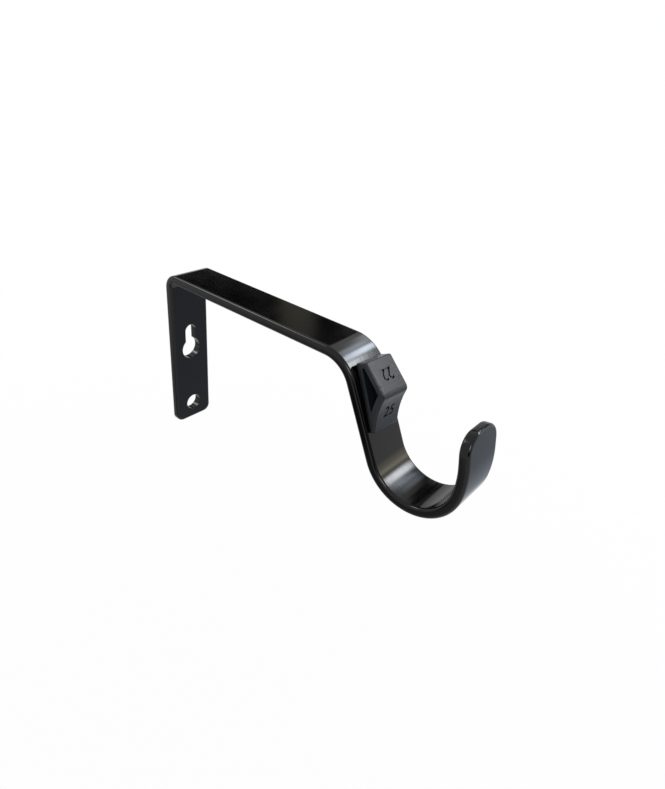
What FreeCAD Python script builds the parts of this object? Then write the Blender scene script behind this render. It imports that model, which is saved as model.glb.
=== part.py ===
import FreeCAD, Part
import math
import os
import Sketcher

# Curtain pole bracket: a flat steel bar bent into a wall plate, an arm and a hook, with a
# moulded plastic adaptor for the pole on the slope above the hook. Millimetres, +Z up.
# The wall is the plane x = 0, the arm runs along +X and the bar is centred on y = 0. The
# origin is on the wall, in the solid land between the keyhole and the lower screw hole.

doc = FreeCAD.newDocument("curtain_pole_bracket")

# Driving dimensions, in millimetres and degrees
SIZES = {
    # flat bar
    "bar_width": 16.2,
    "bar_thickness": 3.3,
    "bar_edge_round": 0.7,
    # wall plate
    "arm_rise": 44.1,
    "plate_drop": 18.9,
    "plate_corner": 3.0,
    "screw_hole_diameter": 6.4,
    "screw_hole_drop": 12.1,
    "keyhole_diameter": 8.1,
    "keyhole_rise": 12.5,
    "keyhole_slot_width": 4.8,
    "keyhole_slot_run": 7.6,
    # bends, arm and slope: each bend's radius is the one inside it
    "wall_bend_radius": 2.3,
    "arm_reach": 76.0,
    "front_bend_radius": 10.0,
    "front_bend_turn": 65.0,
    "slope_run": 24.8,
    # hook: the pole's seat, then a gentler curve and a straight end with rounded corners
    "seat_radius": 13.4,
    "seat_turn": 147.0,
    "lip_radius": 31.0,
    "lip_turn": 17.0,
    "lip_run": 8.9,
    "tip_corner": 5.5,
    # adaptor on the slope: its stud sits this far below the slope's upper end
    "adaptor_distance": 5.8,
    "adaptor_width": 11.9,
    "adaptor_length": 21.2,
    "adaptor_peak": 8.1,
    "adaptor_upper_end": 3.9,
    "adaptor_lower_end": 1.6,
    "adaptor_hollow_radius": 25.0,
    "adaptor_ridge_round": 2.0,
    "adaptor_edge_round": 0.8,
    # cored sides of the adaptor, and the walls left around each core
    "core_depth": 4.0,
    "core_straight_wall": 2.0,
    "core_hollow_wall": 2.3,
    "core_base_wall": 2.1,
    "core_corner_round": 0.3,
    # stud under the adaptor, pressed into a hole through the bar
    "stud_diameter": 5.0,
    "stud_clearance": 0.05,
    "stud_end_gap": 0.3,
    "stud_end_chamfer": 0.5,
}

sheet = doc.addObject("Spreadsheet::Sheet", "sizes")
for row, (size_name, size_value) in enumerate(SIZES.items(), start=1):
    sheet.set("A%d" % row, size_name)
    sheet.set("B%d" % row, str(size_value))
    sheet.setAlias("B%d" % row, size_name)
doc.recompute()

# Sketcher's numbers for the start, end and centre of an element, and for the two fixed
# elements of every sketch: its upright axis, and its origin with the level axis
START, END, CENTRE = range(1, 4)
UPRIGHT_AXIS, ORIGIN = range(-2, 0)
SKETCH_NORMAL = FreeCAD.Vector(0, 0, 1)
# Two points closer than this, in millimetres, are the same
TOLERANCE = 1e-4
# Faces that meet at more than this, in radians, make an edge that is rounded
SHARP = math.radians(20)
# How far a cutting tool runs past the surface that it leaves
RUN_OUT = 1.0


def size(alias):
    """A driving dimension, read from the sheet."""
    return float(sheet.get(alias))


def cell(alias):
    """The same dimension, as it is written in an expression."""
    return "<<sizes>>." + alias


def new_body(label):
    body = doc.addObject("PartDesign::Body", label)
    body.Label = label
    return body


def new_sketch(body, name, role):
    """A sketch on one of its body's own origin planes."""
    sketch = body.newObject("Sketcher::SketchObject", name)
    plane = next(item for item in body.Origin.OriginFeatures if item.Role == role)
    sketch.AttachmentSupport = [(plane, "")]
    sketch.MapMode = "FlatFace"
    return sketch


def bind(sketch, kind, *items, value, to, name=None):
    """A dimension of a sketch, bound to the sheet by an expression."""
    index = sketch.addConstraint(Sketcher.Constraint(kind, *items, value))
    sketch.renameConstraint(index, name or to.split(".")[-1])
    sketch.setExpression("Constraints[%d]" % index, to)


def relate(sketch, kind, *items):
    """A relation between elements of a sketch."""
    sketch.addConstraint(Sketcher.Constraint(kind, *items))


def degrees(alias):
    """An angle of the sheet, as an expression with its unit."""
    return cell(alias) + " * 1 deg"


def polar(centre, radius, angle):
    """The point at an angle, in degrees, on a circle in a sketch's plane."""
    turn = math.radians(angle)
    return centre + FreeCAD.Vector(radius * math.cos(turn), radius * math.sin(turn), 0)


def arc(centre, radius, first, last):
    """An arc that runs anticlockwise between two angles in degrees."""
    circle = Part.Circle(centre, SKETCH_NORMAL, radius)
    return Part.ArcOfCircle(circle, math.radians(first), math.radians(last))


def edges_where(feature, wanted):
    """Names of the edges of a feature that a test picks."""
    edges = enumerate(feature.Shape.Edges, start=1)
    return ["Edge%d" % number for number, edge in edges if wanted(edge)]


def is_sharp(shape, edge):
    """True where the two faces beside an edge don't run smoothly into each other."""
    point = edge.valueAt((edge.FirstParameter + edge.LastParameter) / 2)
    normals = []
    for face in shape.ancestorsOfType(edge, Part.Face):
        normals.append(face.normalAt(*face.Surface.parameter(point)))
    return len(normals) == 2 and normals[0].getAngle(normals[1]) > SHARP


# Bracket bar
# Its side view is a closed outline of even thickness: the chain of lines and tangent arcs on
# the side that starts against the wall, and the same chain one bar thickness away.

def bar_chain(offset):
    """One side of the bar from the plate's foot to the tip, as elements for a sketch.

    The offset is 0 on the side against the wall and the bar's thickness on the other.
    """
    thickness = size("bar_thickness")
    turn = size("front_bend_turn")
    outer_wall = size("wall_bend_radius") + thickness
    outer_front = size("front_bend_radius") + thickness
    foot = FreeCAD.Vector(offset, -size("plate_drop"), 0)
    wall_centre = FreeCAD.Vector(outer_wall, size("arm_rise") - outer_wall, 0)
    front_centre = FreeCAD.Vector(size("arm_reach"), size("arm_rise") - outer_front, 0)
    slope_top = polar(front_centre, outer_front, 90 - turn)
    slope_foot = polar(slope_top, size("slope_run"), -turn)
    seat_centre = polar(slope_foot, size("seat_radius"), 90 - turn)
    seat_first = 270 - turn
    seat_last = seat_first + size("seat_turn")
    lip_centre = polar(seat_centre, size("seat_radius") - size("lip_radius"), seat_last)
    lip_last = seat_last + size("lip_turn")
    run_start = polar(lip_centre, size("lip_radius") + offset, lip_last)
    return [
        Part.LineSegment(foot, polar(wall_centre, outer_wall - offset, 180)),
        arc(wall_centre, outer_wall - offset, 90, 180),
        Part.LineSegment(polar(wall_centre, outer_wall - offset, 90),
                         polar(front_centre, outer_front - offset, 90)),
        arc(front_centre, outer_front - offset, 90 - turn, 90),
        Part.LineSegment(polar(front_centre, outer_front - offset, 90 - turn),
                         polar(seat_centre, size("seat_radius") + offset, seat_first)),
        arc(seat_centre, size("seat_radius") + offset, seat_first, seat_last),
        arc(lip_centre, size("lip_radius") + offset, seat_last, lip_last),
        Part.LineSegment(run_start, polar(run_start, size("lip_run"), lip_last + 90)),
    ]


def draw_chain(sketch, elements):
    """Add a chain to the sketch and make each joint in it tangent."""
    numbers = sketch.addGeometry(elements, False)
    # the wall bend and the front bend turn clockwise, so their arcs run backwards
    backwards = (numbers[1], numbers[3])
    for before, after in zip(numbers, numbers[1:]):
        leaving = START if before in backwards else END
        entering = END if after in backwards else START
        relate(sketch, "Tangent", before, leaving, after, entering)
    return numbers


bar = new_body("bracket_bar")
outline = new_sketch(bar, "bar_outline", "XZ_Plane")
wall_side = draw_chain(outline, bar_chain(0.0))
room_side = draw_chain(outline, bar_chain(size("bar_thickness")))
plate, wall_bend, arm, front_bend, slope, seat, lip, run = wall_side
plate_face, wall_inside, arm_under, front_inside, slope_under = room_side[:5]
run_face = room_side[-1]
drawn = outline.Geometry
foot_cap = outline.addGeometry(
    Part.LineSegment(drawn[plate].StartPoint, drawn[plate_face].StartPoint), False)
tip_cap = outline.addGeometry(
    Part.LineSegment(drawn[run].EndPoint, drawn[run_face].EndPoint), False)
relate(outline, "Coincident", foot_cap, START, plate, START)
relate(outline, "Coincident", foot_cap, END, plate_face, START)
relate(outline, "Coincident", tip_cap, START, run, END)
relate(outline, "Coincident", tip_cap, END, run_face, END)
for bend, bend_beside in zip(wall_side, room_side):
    if bend in (wall_bend, front_bend, seat, lip):
        relate(outline, "Coincident", bend, CENTRE, bend_beside, CENTRE)
relate(outline, "PointOnObject", plate, START, UPRIGHT_AXIS)
for upright in (plate, plate_face):
    relate(outline, "Vertical", upright)
for level in (arm, arm_under, foot_cap):
    relate(outline, "Horizontal", level)
relate(outline, "Parallel", slope, slope_under)
relate(outline, "Parallel", run, run_face)
relate(outline, "Perpendicular", run, tip_cap)
bind(outline, "DistanceY", plate, START, ORIGIN, START,
     value=size("plate_drop"), to=cell("plate_drop"))
bind(outline, "DistanceY", ORIGIN, START, arm, START,
     value=size("arm_rise"), to=cell("arm_rise"))
bind(outline, "DistanceX", ORIGIN, START, front_bend, CENTRE,
     value=size("arm_reach"), to=cell("arm_reach"))
for length, element in (("bar_thickness", foot_cap), ("slope_run", slope), ("lip_run", run)):
    bind(outline, "Distance", element, value=size(length), to=cell(length))
for radius, element in (("wall_bend_radius", wall_inside), ("front_bend_radius", front_inside),
                        ("seat_radius", seat), ("lip_radius", lip)):
    bind(outline, "Radius", element, value=size(radius), to=cell(radius))
for turn_name, element in (("front_bend_turn", front_bend), ("seat_turn", seat),
                           ("lip_turn", lip)):
    bind(outline, "Angle", element, value=math.radians(size(turn_name)),
         to=degrees(turn_name), name=turn_name)

bar_pad = bar.newObject("PartDesign::Pad", "bar_pad")
bar_pad.Profile = outline
bar_pad.SideType = "Symmetric"
bar_pad.setExpression("Length", cell("bar_width"))
doc.recompute()


def at_corner(edge, cap):
    """True for the bar's two edges through its thickness at one end of the outline."""
    middle = (cap.StartPoint + cap.EndPoint) * 0.5
    centre = edge.CenterOfMass
    corner = FreeCAD.Vector(middle.x, math.copysign(size("bar_width") / 2, centre.y), middle.y)
    return centre.distanceToPoint(corner) < TOLERANCE


plate_corners = bar.newObject("PartDesign::Fillet", "plate_corners")
plate_corners.Base = (bar_pad, edges_where(
    bar_pad, lambda edge: at_corner(edge, outline.Geometry[foot_cap])))
plate_corners.setExpression("Radius", cell("plate_corner"))
doc.recompute()

tip_corners = bar.newObject("PartDesign::Fillet", "tip_corners")
tip_corners.Base = (plate_corners, edges_where(
    plate_corners, lambda edge: at_corner(edge, outline.Geometry[tip_cap])))
tip_corners.setExpression("Radius", cell("tip_corner"))
doc.recompute()

bar_edges = bar.newObject("PartDesign::Fillet", "bar_edges")
bar_edges.Base = (tip_corners, edges_where(
    tip_corners, lambda edge: is_sharp(tip_corners.Shape, edge)))
bar_edges.setExpression("Radius", cell("bar_edge_round"))

# Holes of the wall plate, both cut forward from the wall
screw_outline = new_sketch(bar, "screw_hole_outline", "YZ_Plane")
screw_circle = screw_outline.addGeometry(
    Part.Circle(FreeCAD.Vector(0, -size("screw_hole_drop"), 0), SKETCH_NORMAL,
                size("screw_hole_diameter") / 2), False)
relate(screw_outline, "PointOnObject", screw_circle, CENTRE, UPRIGHT_AXIS)
bind(screw_outline, "DistanceY", screw_circle, CENTRE, ORIGIN, START,
     value=size("screw_hole_drop"), to=cell("screw_hole_drop"))
bind(screw_outline, "Diameter", screw_circle,
     value=size("screw_hole_diameter"), to=cell("screw_hole_diameter"))

keyhole_outline = new_sketch(bar, "keyhole_outline", "YZ_Plane")
head_centre = FreeCAD.Vector(0, size("keyhole_rise"), 0)
slot_centre = head_centre + FreeCAD.Vector(0, size("keyhole_slot_run"), 0)
slot_half = size("keyhole_slot_width") / 2
meeting = math.degrees(math.acos(size("keyhole_slot_width") / size("keyhole_diameter")))
head_arc, slot_right, slot_arc, slot_left = keyhole_outline.addGeometry([
    arc(head_centre, size("keyhole_diameter") / 2, 180 - meeting, 360 + meeting),
    Part.LineSegment(polar(head_centre, size("keyhole_diameter") / 2, meeting),
                     polar(slot_centre, slot_half, 0)),
    arc(slot_centre, slot_half, 0, 180),
    Part.LineSegment(polar(slot_centre, slot_half, 180),
                     polar(head_centre, size("keyhole_diameter") / 2, 180 - meeting)),
], False)
relate(keyhole_outline, "Coincident", head_arc, END, slot_right, START)
relate(keyhole_outline, "Tangent", slot_right, END, slot_arc, START)
relate(keyhole_outline, "Tangent", slot_arc, END, slot_left, START)
relate(keyhole_outline, "Coincident", slot_left, END, head_arc, START)
for round_end in (head_arc, slot_arc):
    relate(keyhole_outline, "PointOnObject", round_end, CENTRE, UPRIGHT_AXIS)
for slot_side in (slot_right, slot_left):
    relate(keyhole_outline, "Vertical", slot_side)
bind(keyhole_outline, "DistanceY", ORIGIN, START, head_arc, CENTRE,
     value=size("keyhole_rise"), to=cell("keyhole_rise"))
bind(keyhole_outline, "DistanceY", head_arc, CENTRE, slot_arc, CENTRE,
     value=size("keyhole_slot_run"), to=cell("keyhole_slot_run"))
bind(keyhole_outline, "Diameter", head_arc,
     value=size("keyhole_diameter"), to=cell("keyhole_diameter"))
bind(keyhole_outline, "Diameter", slot_arc,
     value=size("keyhole_slot_width"), to=cell("keyhole_slot_width"))

for hole_outline, hole_name in ((screw_outline, "screw_hole"), (keyhole_outline, "keyhole")):
    hole = bar.newObject("PartDesign::Pocket", hole_name)
    hole.Profile = hole_outline
    hole.Reversed = True
    hole.setExpression("Length", "%s + %s" % (cell("bar_thickness"), RUN_OUT))

# Where the adaptor's stud meets the slope: out from the front bend's centre to the slope's
# upper end, then down the slope
OUTER_FRONT = "(%s + %s)" % (cell("front_bend_radius"), cell("bar_thickness"))
SINE = "sin(%s)" % degrees("front_bend_turn")
COSINE = "cos(%s)" % degrees("front_bend_turn")
STUD_X = "%s + %s * %s + %s * %s" % (
    cell("arm_reach"), OUTER_FRONT, SINE, cell("adaptor_distance"), COSINE)
STUD_Z = "%s - %s * (1 - %s) - %s * %s" % (
    cell("arm_rise"), OUTER_FRONT, COSINE, cell("adaptor_distance"), SINE)
STUD_HOLE_DEPTH = "(%s + %s)" % (cell("bar_thickness"), RUN_OUT)

stud_hole = bar.newObject("PartDesign::SubtractiveCylinder", "stud_hole")
stud_hole.Placement = FreeCAD.Placement(
    FreeCAD.Vector(), FreeCAD.Rotation(FreeCAD.Vector(0, 1, 0), size("front_bend_turn")))
stud_hole.setExpression("Placement.Rotation.Angle", degrees("front_bend_turn"))
stud_hole.setExpression("Placement.Base.x", "%s - %s * %s" % (STUD_X, STUD_HOLE_DEPTH, SINE))
stud_hole.setExpression("Placement.Base.z", "%s - %s * %s" % (STUD_Z, STUD_HOLE_DEPTH, COSINE))
stud_hole.setExpression("Radius", "%s / 2 + %s" % (cell("stud_diameter"),
                                                  cell("stud_clearance")))
stud_hole.setExpression("Height", "%s + %s" % (STUD_HOLE_DEPTH, RUN_OUT))
bar.Tip = stud_hole
doc.recompute()

# Pole adaptor
# Drawn level in its own frame: x runs down the slope and z stands off it, and the origin is
# where the stud meets the slope. Its section is a low ridge, straight on the upper side and
# hollow on the lower side, where the pole lies against it.

def draw_ridge(sketch, construction):
    """The adaptor's section, bound to the sheet. Returns its base, straight and hollow sides."""
    half = size("adaptor_length") / 2
    upper_foot = FreeCAD.Vector(-half, 0, 0)
    lower_foot = FreeCAD.Vector(half, 0, 0)
    lower_top = FreeCAD.Vector(half, size("adaptor_lower_end"), 0)
    peak = FreeCAD.Vector(0, size("adaptor_peak"), 0)
    upper_top = FreeCAD.Vector(-half, size("adaptor_upper_end"), 0)
    chord = lower_top - peak
    outward = FreeCAD.Vector(-chord.y, chord.x, 0).normalize()
    radius = size("adaptor_hollow_radius")
    centre = (peak + lower_top) * 0.5 + outward * math.sqrt(radius ** 2 - chord.Length ** 2 / 4)
    first = math.degrees(math.atan2(peak.y - centre.y, peak.x - centre.x))
    last = math.degrees(math.atan2(lower_top.y - centre.y, lower_top.x - centre.x))
    base, lower_end, hollow, straight, upper_end = sketch.addGeometry([
        Part.LineSegment(upper_foot, lower_foot),
        Part.LineSegment(lower_foot, lower_top),
        arc(centre, radius, first, last),
        Part.LineSegment(peak, upper_top),
        Part.LineSegment(upper_top, upper_foot),
    ], construction)
    relate(sketch, "Coincident", base, END, lower_end, START)
    relate(sketch, "Coincident", lower_end, END, hollow, END)
    relate(sketch, "Coincident", hollow, START, straight, START)
    relate(sketch, "Coincident", straight, END, upper_end, START)
    relate(sketch, "Coincident", upper_end, END, base, START)
    relate(sketch, "Symmetric", base, START, base, END, ORIGIN, START)
    relate(sketch, "Horizontal", base)
    relate(sketch, "Vertical", lower_end)
    relate(sketch, "Vertical", upper_end)
    relate(sketch, "PointOnObject", straight, START, UPRIGHT_AXIS)
    for length, element in (("adaptor_length", base), ("adaptor_lower_end", lower_end),
                            ("adaptor_upper_end", upper_end)):
        bind(sketch, "Distance", element, value=size(length), to=cell(length))
    bind(sketch, "DistanceY", ORIGIN, START, straight, START,
         value=size("adaptor_peak"), to=cell("adaptor_peak"))
    bind(sketch, "Radius", hollow, value=radius, to=cell("adaptor_hollow_radius"))
    return base, straight, hollow


adaptor = new_body("pole_adaptor")
ridge_outline = new_sketch(adaptor, "ridge_outline", "XZ_Plane")
draw_ridge(ridge_outline, False)
ridge = adaptor.newObject("PartDesign::Pad", "ridge")
ridge.Profile = ridge_outline
ridge.SideType = "Symmetric"
ridge.setExpression("Length", cell("adaptor_width"))
doc.recompute()


def on_crest(edge):
    """True for the edge along the top of the ridge."""
    crest = FreeCAD.Vector(0, 0, size("adaptor_peak"))
    return edge.CenterOfMass.distanceToPoint(crest) < TOLERANCE


ridge_crest = adaptor.newObject("PartDesign::Fillet", "ridge_crest")
ridge_crest.Base = (ridge, edges_where(ridge, on_crest))
ridge_crest.setExpression("Radius", cell("adaptor_ridge_round"))
doc.recompute()

adaptor_edges = adaptor.newObject("PartDesign::Fillet", "adaptor_edges")
adaptor_edges.Base = (ridge_crest, edges_where(
    ridge_crest, lambda edge: is_sharp(ridge_crest.Shape, edge)
    and max(vertex.Z for vertex in edge.Vertexes) > TOLERANCE))
adaptor_edges.setExpression("Radius", cell("adaptor_edge_round"))
doc.recompute()

# The core in one side, then its mirror image in the other
core_outline = new_sketch(adaptor, "core_outline", "XZ_Plane")
core_outline.setExpression("AttachmentOffset.Base.z", cell("adaptor_width") + " / 2")
_, straight_side, hollow_side = draw_ridge(core_outline, True)
straight_line = core_outline.Geometry[straight_side]
hollow_arc = core_outline.Geometry[hollow_side]
inner_radius = size("adaptor_hollow_radius") + size("core_hollow_wall")
rise = straight_line.StartPoint - straight_line.EndPoint
inward = FreeCAD.Vector(rise.y, -rise.x, 0).normalize() * size("core_straight_wall")
floor = size("core_base_wall")
line_foot = straight_line.EndPoint + inward
upper_corner = line_foot + rise * ((floor - line_foot.y) / rise.y)
reach = math.sqrt(inner_radius ** 2 - (hollow_arc.Center.y - floor) ** 2)
lower_corner = FreeCAD.Vector(hollow_arc.Center.x - reach, floor, 0)
inner_circle = Part.Circle(hollow_arc.Center, SKETCH_NORMAL, inner_radius)
crossing = min(inner_circle.intersect(Part.Line(upper_corner, upper_corner + rise)),
               key=lambda point: point.X)
top_corner = FreeCAD.Vector(crossing.X, crossing.Y, 0)
core_angles = [math.degrees(math.atan2(corner.y - hollow_arc.Center.y,
                                       corner.x - hollow_arc.Center.x))
               for corner in (top_corner, lower_corner)]
core_straight, core_hollow, core_floor = core_outline.addGeometry([
    Part.LineSegment(upper_corner, top_corner),
    arc(hollow_arc.Center, inner_radius, *core_angles),
    Part.LineSegment(lower_corner, upper_corner),
], False)
relate(core_outline, "Coincident", core_straight, END, core_hollow, START)
relate(core_outline, "Coincident", core_hollow, END, core_floor, START)
relate(core_outline, "Coincident", core_floor, END, core_straight, START)
relate(core_outline, "Coincident", core_hollow, CENTRE, hollow_side, CENTRE)
relate(core_outline, "Parallel", core_straight, straight_side)
relate(core_outline, "Horizontal", core_floor)
bind(core_outline, "Distance", core_straight, START, straight_side,
     value=size("core_straight_wall"), to=cell("core_straight_wall"))
bind(core_outline, "Radius", core_hollow, value=inner_radius, name="core_hollow_radius",
     to="%s + %s" % (cell("adaptor_hollow_radius"), cell("core_hollow_wall")))
bind(core_outline, "DistanceY", ORIGIN, START, core_floor, START,
     value=floor, to=cell("core_base_wall"))

core = adaptor.newObject("PartDesign::Pocket", "core")
core.Profile = core_outline
core.setExpression("Length", cell("core_depth"))
doc.recompute()
other_core = adaptor.newObject("PartDesign::Mirrored", "other_core")
other_core.Originals = [core]
middle_plane = next(item for item in adaptor.Origin.OriginFeatures if item.Role == "XZ_Plane")
other_core.MirrorPlane = (middle_plane, [""])
adaptor.Tip = other_core
doc.recompute()


def in_core_corner(edge):
    """True for the edges that run into the adaptor at the corners of its two cores."""
    straight_in = abs(edge.Length - size("core_depth")) < TOLERANCE
    depth = [abs(vertex.Y) for vertex in edge.Vertexes]
    return straight_in and max(depth) - min(depth) > size("core_depth") - TOLERANCE


core_corners = adaptor.newObject("PartDesign::Fillet", "core_corners")
core_corners.Base = (other_core, edges_where(other_core, in_core_corner))
core_corners.setExpression("Radius", cell("core_corner_round"))
doc.recompute()

stud_outline = new_sketch(adaptor, "stud_outline", "XY_Plane")
stud_circle = stud_outline.addGeometry(
    Part.Circle(FreeCAD.Vector(), SKETCH_NORMAL, size("stud_diameter") / 2), False)
relate(stud_outline, "Coincident", stud_circle, CENTRE, ORIGIN, START)
bind(stud_outline, "Diameter", stud_circle,
     value=size("stud_diameter"), to=cell("stud_diameter"))
stud = adaptor.newObject("PartDesign::Pad", "stud")
stud.Profile = stud_outline
stud.Reversed = True
stud.setExpression("Length", "%s - %s" % (cell("bar_thickness"), cell("stud_end_gap")))
doc.recompute()


def at_stud_end(edge):
    """True for the circle at the free end of the stud."""
    return all(vertex.Z < size("stud_end_gap") - size("bar_thickness") + TOLERANCE
               for vertex in edge.Vertexes)


stud_end = adaptor.newObject("PartDesign::Chamfer", "stud_end")
stud_end.Base = (stud, edges_where(stud, at_stud_end))
stud_end.setExpression("Size", cell("stud_end_chamfer"))
adaptor.Tip = stud_end
adaptor.Placement = FreeCAD.Placement(
    FreeCAD.Vector(), FreeCAD.Rotation(FreeCAD.Vector(0, 1, 0), size("front_bend_turn")))
adaptor.setExpression("Placement.Rotation.Angle", degrees("front_bend_turn"))
adaptor.setExpression("Placement.Base.x", STUD_X)
adaptor.setExpression("Placement.Base.z", STUD_Z)
doc.recompute()

# Check every object, then write one file for each piece
for item in doc.Objects:
    if "Invalid" in item.State or "Error" in item.State:
        raise RuntimeError("%s did not recompute: %s" % (item.Name, item.State))

os.makedirs("parts", exist_ok=True)
for piece in (bar, adaptor):
    shape = piece.Shape
    if shape.isNull() or not shape.isValid() or len(shape.Solids) != 1:
        raise RuntimeError("%s is not one valid solid" % piece.Label)
    shape.exportStep("parts/%s.step" % piece.Label)
    box = shape.BoundBox
    print("%s: volume %.1f mm3, x %.2f to %.2f, y %.2f to %.2f, z %.2f to %.2f" % (
        piece.Label, shape.Volume, box.XMin, box.XMax, box.YMin, box.YMax, box.ZMin, box.ZMax))
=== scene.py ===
# %% [markdown]
# A curtain pole bracket
#
# The object is a flat steel bar, bent into a wall plate, a level arm and an open hook, and
# coated black. A moulded plastic wedge sits on the slope above the hook and steadies the pole.
# The CAD model already has the right shapes and sizes, so this file is about what light does on
# them: a semi-gloss coat, a matt moulding, and the room that both of them mirror.

# %% Load the frame
import math

import bmesh
import bpy
from mathutils import Matrix, Vector


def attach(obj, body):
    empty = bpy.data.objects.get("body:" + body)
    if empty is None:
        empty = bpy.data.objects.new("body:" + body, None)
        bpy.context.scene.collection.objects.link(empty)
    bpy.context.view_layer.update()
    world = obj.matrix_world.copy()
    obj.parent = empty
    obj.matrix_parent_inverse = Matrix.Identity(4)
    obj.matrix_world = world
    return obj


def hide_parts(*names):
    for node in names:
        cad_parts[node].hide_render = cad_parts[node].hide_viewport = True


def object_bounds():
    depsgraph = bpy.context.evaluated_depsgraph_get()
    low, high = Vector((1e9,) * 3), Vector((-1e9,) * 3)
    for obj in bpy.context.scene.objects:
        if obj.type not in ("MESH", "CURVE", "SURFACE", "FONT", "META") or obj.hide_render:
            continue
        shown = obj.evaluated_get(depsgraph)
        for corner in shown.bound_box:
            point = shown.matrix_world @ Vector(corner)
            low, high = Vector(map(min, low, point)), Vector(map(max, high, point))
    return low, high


MM, CM = 0.001, 0.01

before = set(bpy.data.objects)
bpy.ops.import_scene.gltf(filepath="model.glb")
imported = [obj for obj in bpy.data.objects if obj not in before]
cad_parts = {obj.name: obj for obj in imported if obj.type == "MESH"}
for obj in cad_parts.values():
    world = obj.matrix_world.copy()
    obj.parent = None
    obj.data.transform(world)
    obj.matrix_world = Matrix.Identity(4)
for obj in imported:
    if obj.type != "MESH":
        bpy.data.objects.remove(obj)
cad_low, cad_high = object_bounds()
middle = (cad_low + cad_high) / 2
print("nodes:", sorted(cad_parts))
print("overall size, mm:", [round(side / MM, 1) for side in cad_high - cad_low])

# %% [markdown]
# The camera stands above the free end of the hook and looks back along the arm. Its place and
# its three angles decide where every corner falls in the picture. The lens is a wide one held
# close, which is why the hook looks so much larger than the wall plate. The picture leans a
# little, so the roll is an angle of its own.

# %% Camera
CAMERA_PLACE = Vector((170.96, -126.34, 117.80)) * MM
CAMERA_AZIMUTH = math.radians(37.33)
CAMERA_ELEVATION = math.radians(30.68)
CAMERA_ROLL = math.radians(5.69)
CAMERA_LENS, SENSOR_WIDTH = 26.49, 36.0  # the camera takes both in mm
CLIP_START = 1 * CM


def camera_turn():
    """The camera's axes: to the right, up, and back towards the photographer."""
    back = Vector((math.sin(CAMERA_AZIMUTH) * math.cos(CAMERA_ELEVATION),
                   -math.cos(CAMERA_AZIMUTH) * math.cos(CAMERA_ELEVATION),
                   math.sin(CAMERA_ELEVATION)))
    right = Vector((math.cos(CAMERA_AZIMUTH), math.sin(CAMERA_AZIMUTH), 0))
    up = back.cross(right)
    rolled_right = right * math.cos(CAMERA_ROLL) + up * math.sin(CAMERA_ROLL)
    rolled_up = up * math.cos(CAMERA_ROLL) - right * math.sin(CAMERA_ROLL)
    return Matrix((rolled_right, rolled_up, back)).transposed()


lens = bpy.data.cameras.new("camera")
lens.lens = CAMERA_LENS
lens.sensor_width = SENSOR_WIDTH
lens.clip_start = CLIP_START
camera = bpy.data.objects.new("camera", lens)
camera.matrix_world = Matrix.Translation(CAMERA_PLACE) @ camera_turn().to_4x4()
bpy.context.scene.collection.objects.link(camera)
bpy.context.scene.camera = camera
bpy.context.scene.view_settings.view_transform = "Standard"
print("camera to the middle of the object, mm:", round((CAMERA_PLACE - middle).length / MM))

# %% [markdown]
# A black coat shows very little of its own colour. What the eye reads as its shape is the room
# in it, so the room is built first: one long soft lamp whose streak runs over the front bend
# and the hook, a weaker reflector beside it, and black flags that keep the level arm dark. Area
# lamps would do for the light, but their rims are hard in a glossy coat. These panels glow
# evenly and fade out at the rim, which takes a small node tree of its own.

# %% Light that fades out at the rim
WHITE = (1.0, 1.0, 1.0)
BLACK = (0.0, 0.0, 0.0)
WARM = (1.0, 0.95, 0.75)
COOL = (0.84, 0.93, 1.05)
PALE = (0.95, 0.98, 1.03)


def link_nodes(tree, *pairs):
    """Join sockets, each pair from an output to an input."""
    for source, target in pairs:
        tree.links.new(source, target)


def new_material(name):
    """An empty node material. Returns it with its tree and its output node."""
    material = bpy.data.materials.new(name)
    material.use_nodes = True
    tree = material.node_tree
    tree.nodes.clear()
    return material, tree, tree.nodes.new("ShaderNodeOutputMaterial")


def feed(tree, node, values):
    """Give a node its inputs in order: numbers are set, and other nodes' outputs are joined."""
    for place, value in zip(node.inputs, values):
        if isinstance(value, (int, float)):
            place.default_value = value
        else:
            tree.links.new(value, place)
    return node.outputs[0]


def math_node(tree, operation, *values):
    node = tree.nodes.new("ShaderNodeMath")
    node.operation = operation
    return feed(tree, node, values)


def panel_material(name, colour, strength, softness):
    """Light of an even colour that fades out over the panel's rim."""
    material, tree, output = new_material(name)
    place = tree.nodes.new("ShaderNodeTexCoord")
    split = tree.nodes.new("ShaderNodeSeparateXYZ")
    tree.links.new(place.outputs["Object"], split.inputs[0])
    fades = []
    for axis in (0, 1):
        rim = tree.nodes.new("ShaderNodeMapRange")
        rim.interpolation_type = "SMOOTHSTEP"
        rim.inputs["From Min"].default_value = 1.0
        rim.inputs["From Max"].default_value = 1.0 - softness[axis]
        tree.links.new(math_node(tree, "ABSOLUTE", split.outputs[axis]), rim.inputs["Value"])
        fades.append(rim.outputs["Result"])
    light = tree.nodes.new("ShaderNodeEmission")
    light.inputs["Color"].default_value = (*colour, 1)
    light.inputs["Strength"].default_value = strength
    clear = tree.nodes.new("ShaderNodeBsdfTransparent")
    mix = tree.nodes.new("ShaderNodeMixShader")
    link_nodes(tree, (math_node(tree, "MULTIPLY", *fades), mix.inputs["Fac"]),
               (clear.outputs[0], mix.inputs[1]), (light.outputs[0], mix.inputs[2]),
               (mix.outputs[0], output.inputs["Surface"]))
    return material


print("warm, cool and pale light:", WARM, COOL, PALE)

# %% [markdown]
# Each panel is placed by the direction in which the object sees it. The front bend and the hook
# curve alike, so both mirror the same far lamps. A card held close is another matter: the bend
# and the hook are some 40 mm apart and see it in different places. So close cards dim or
# brighten the streak in the hook and leave the one on the bend alone. Cards and flags light
# nothing here. They only show where the object mirrors them.

# %% Studio
# Distances in m. In front of another panel means a little closer than it
FAR, NEAR, CLOSE = 3.0, 0.55, 0.20
IN_FRONT = 0.95


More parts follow.
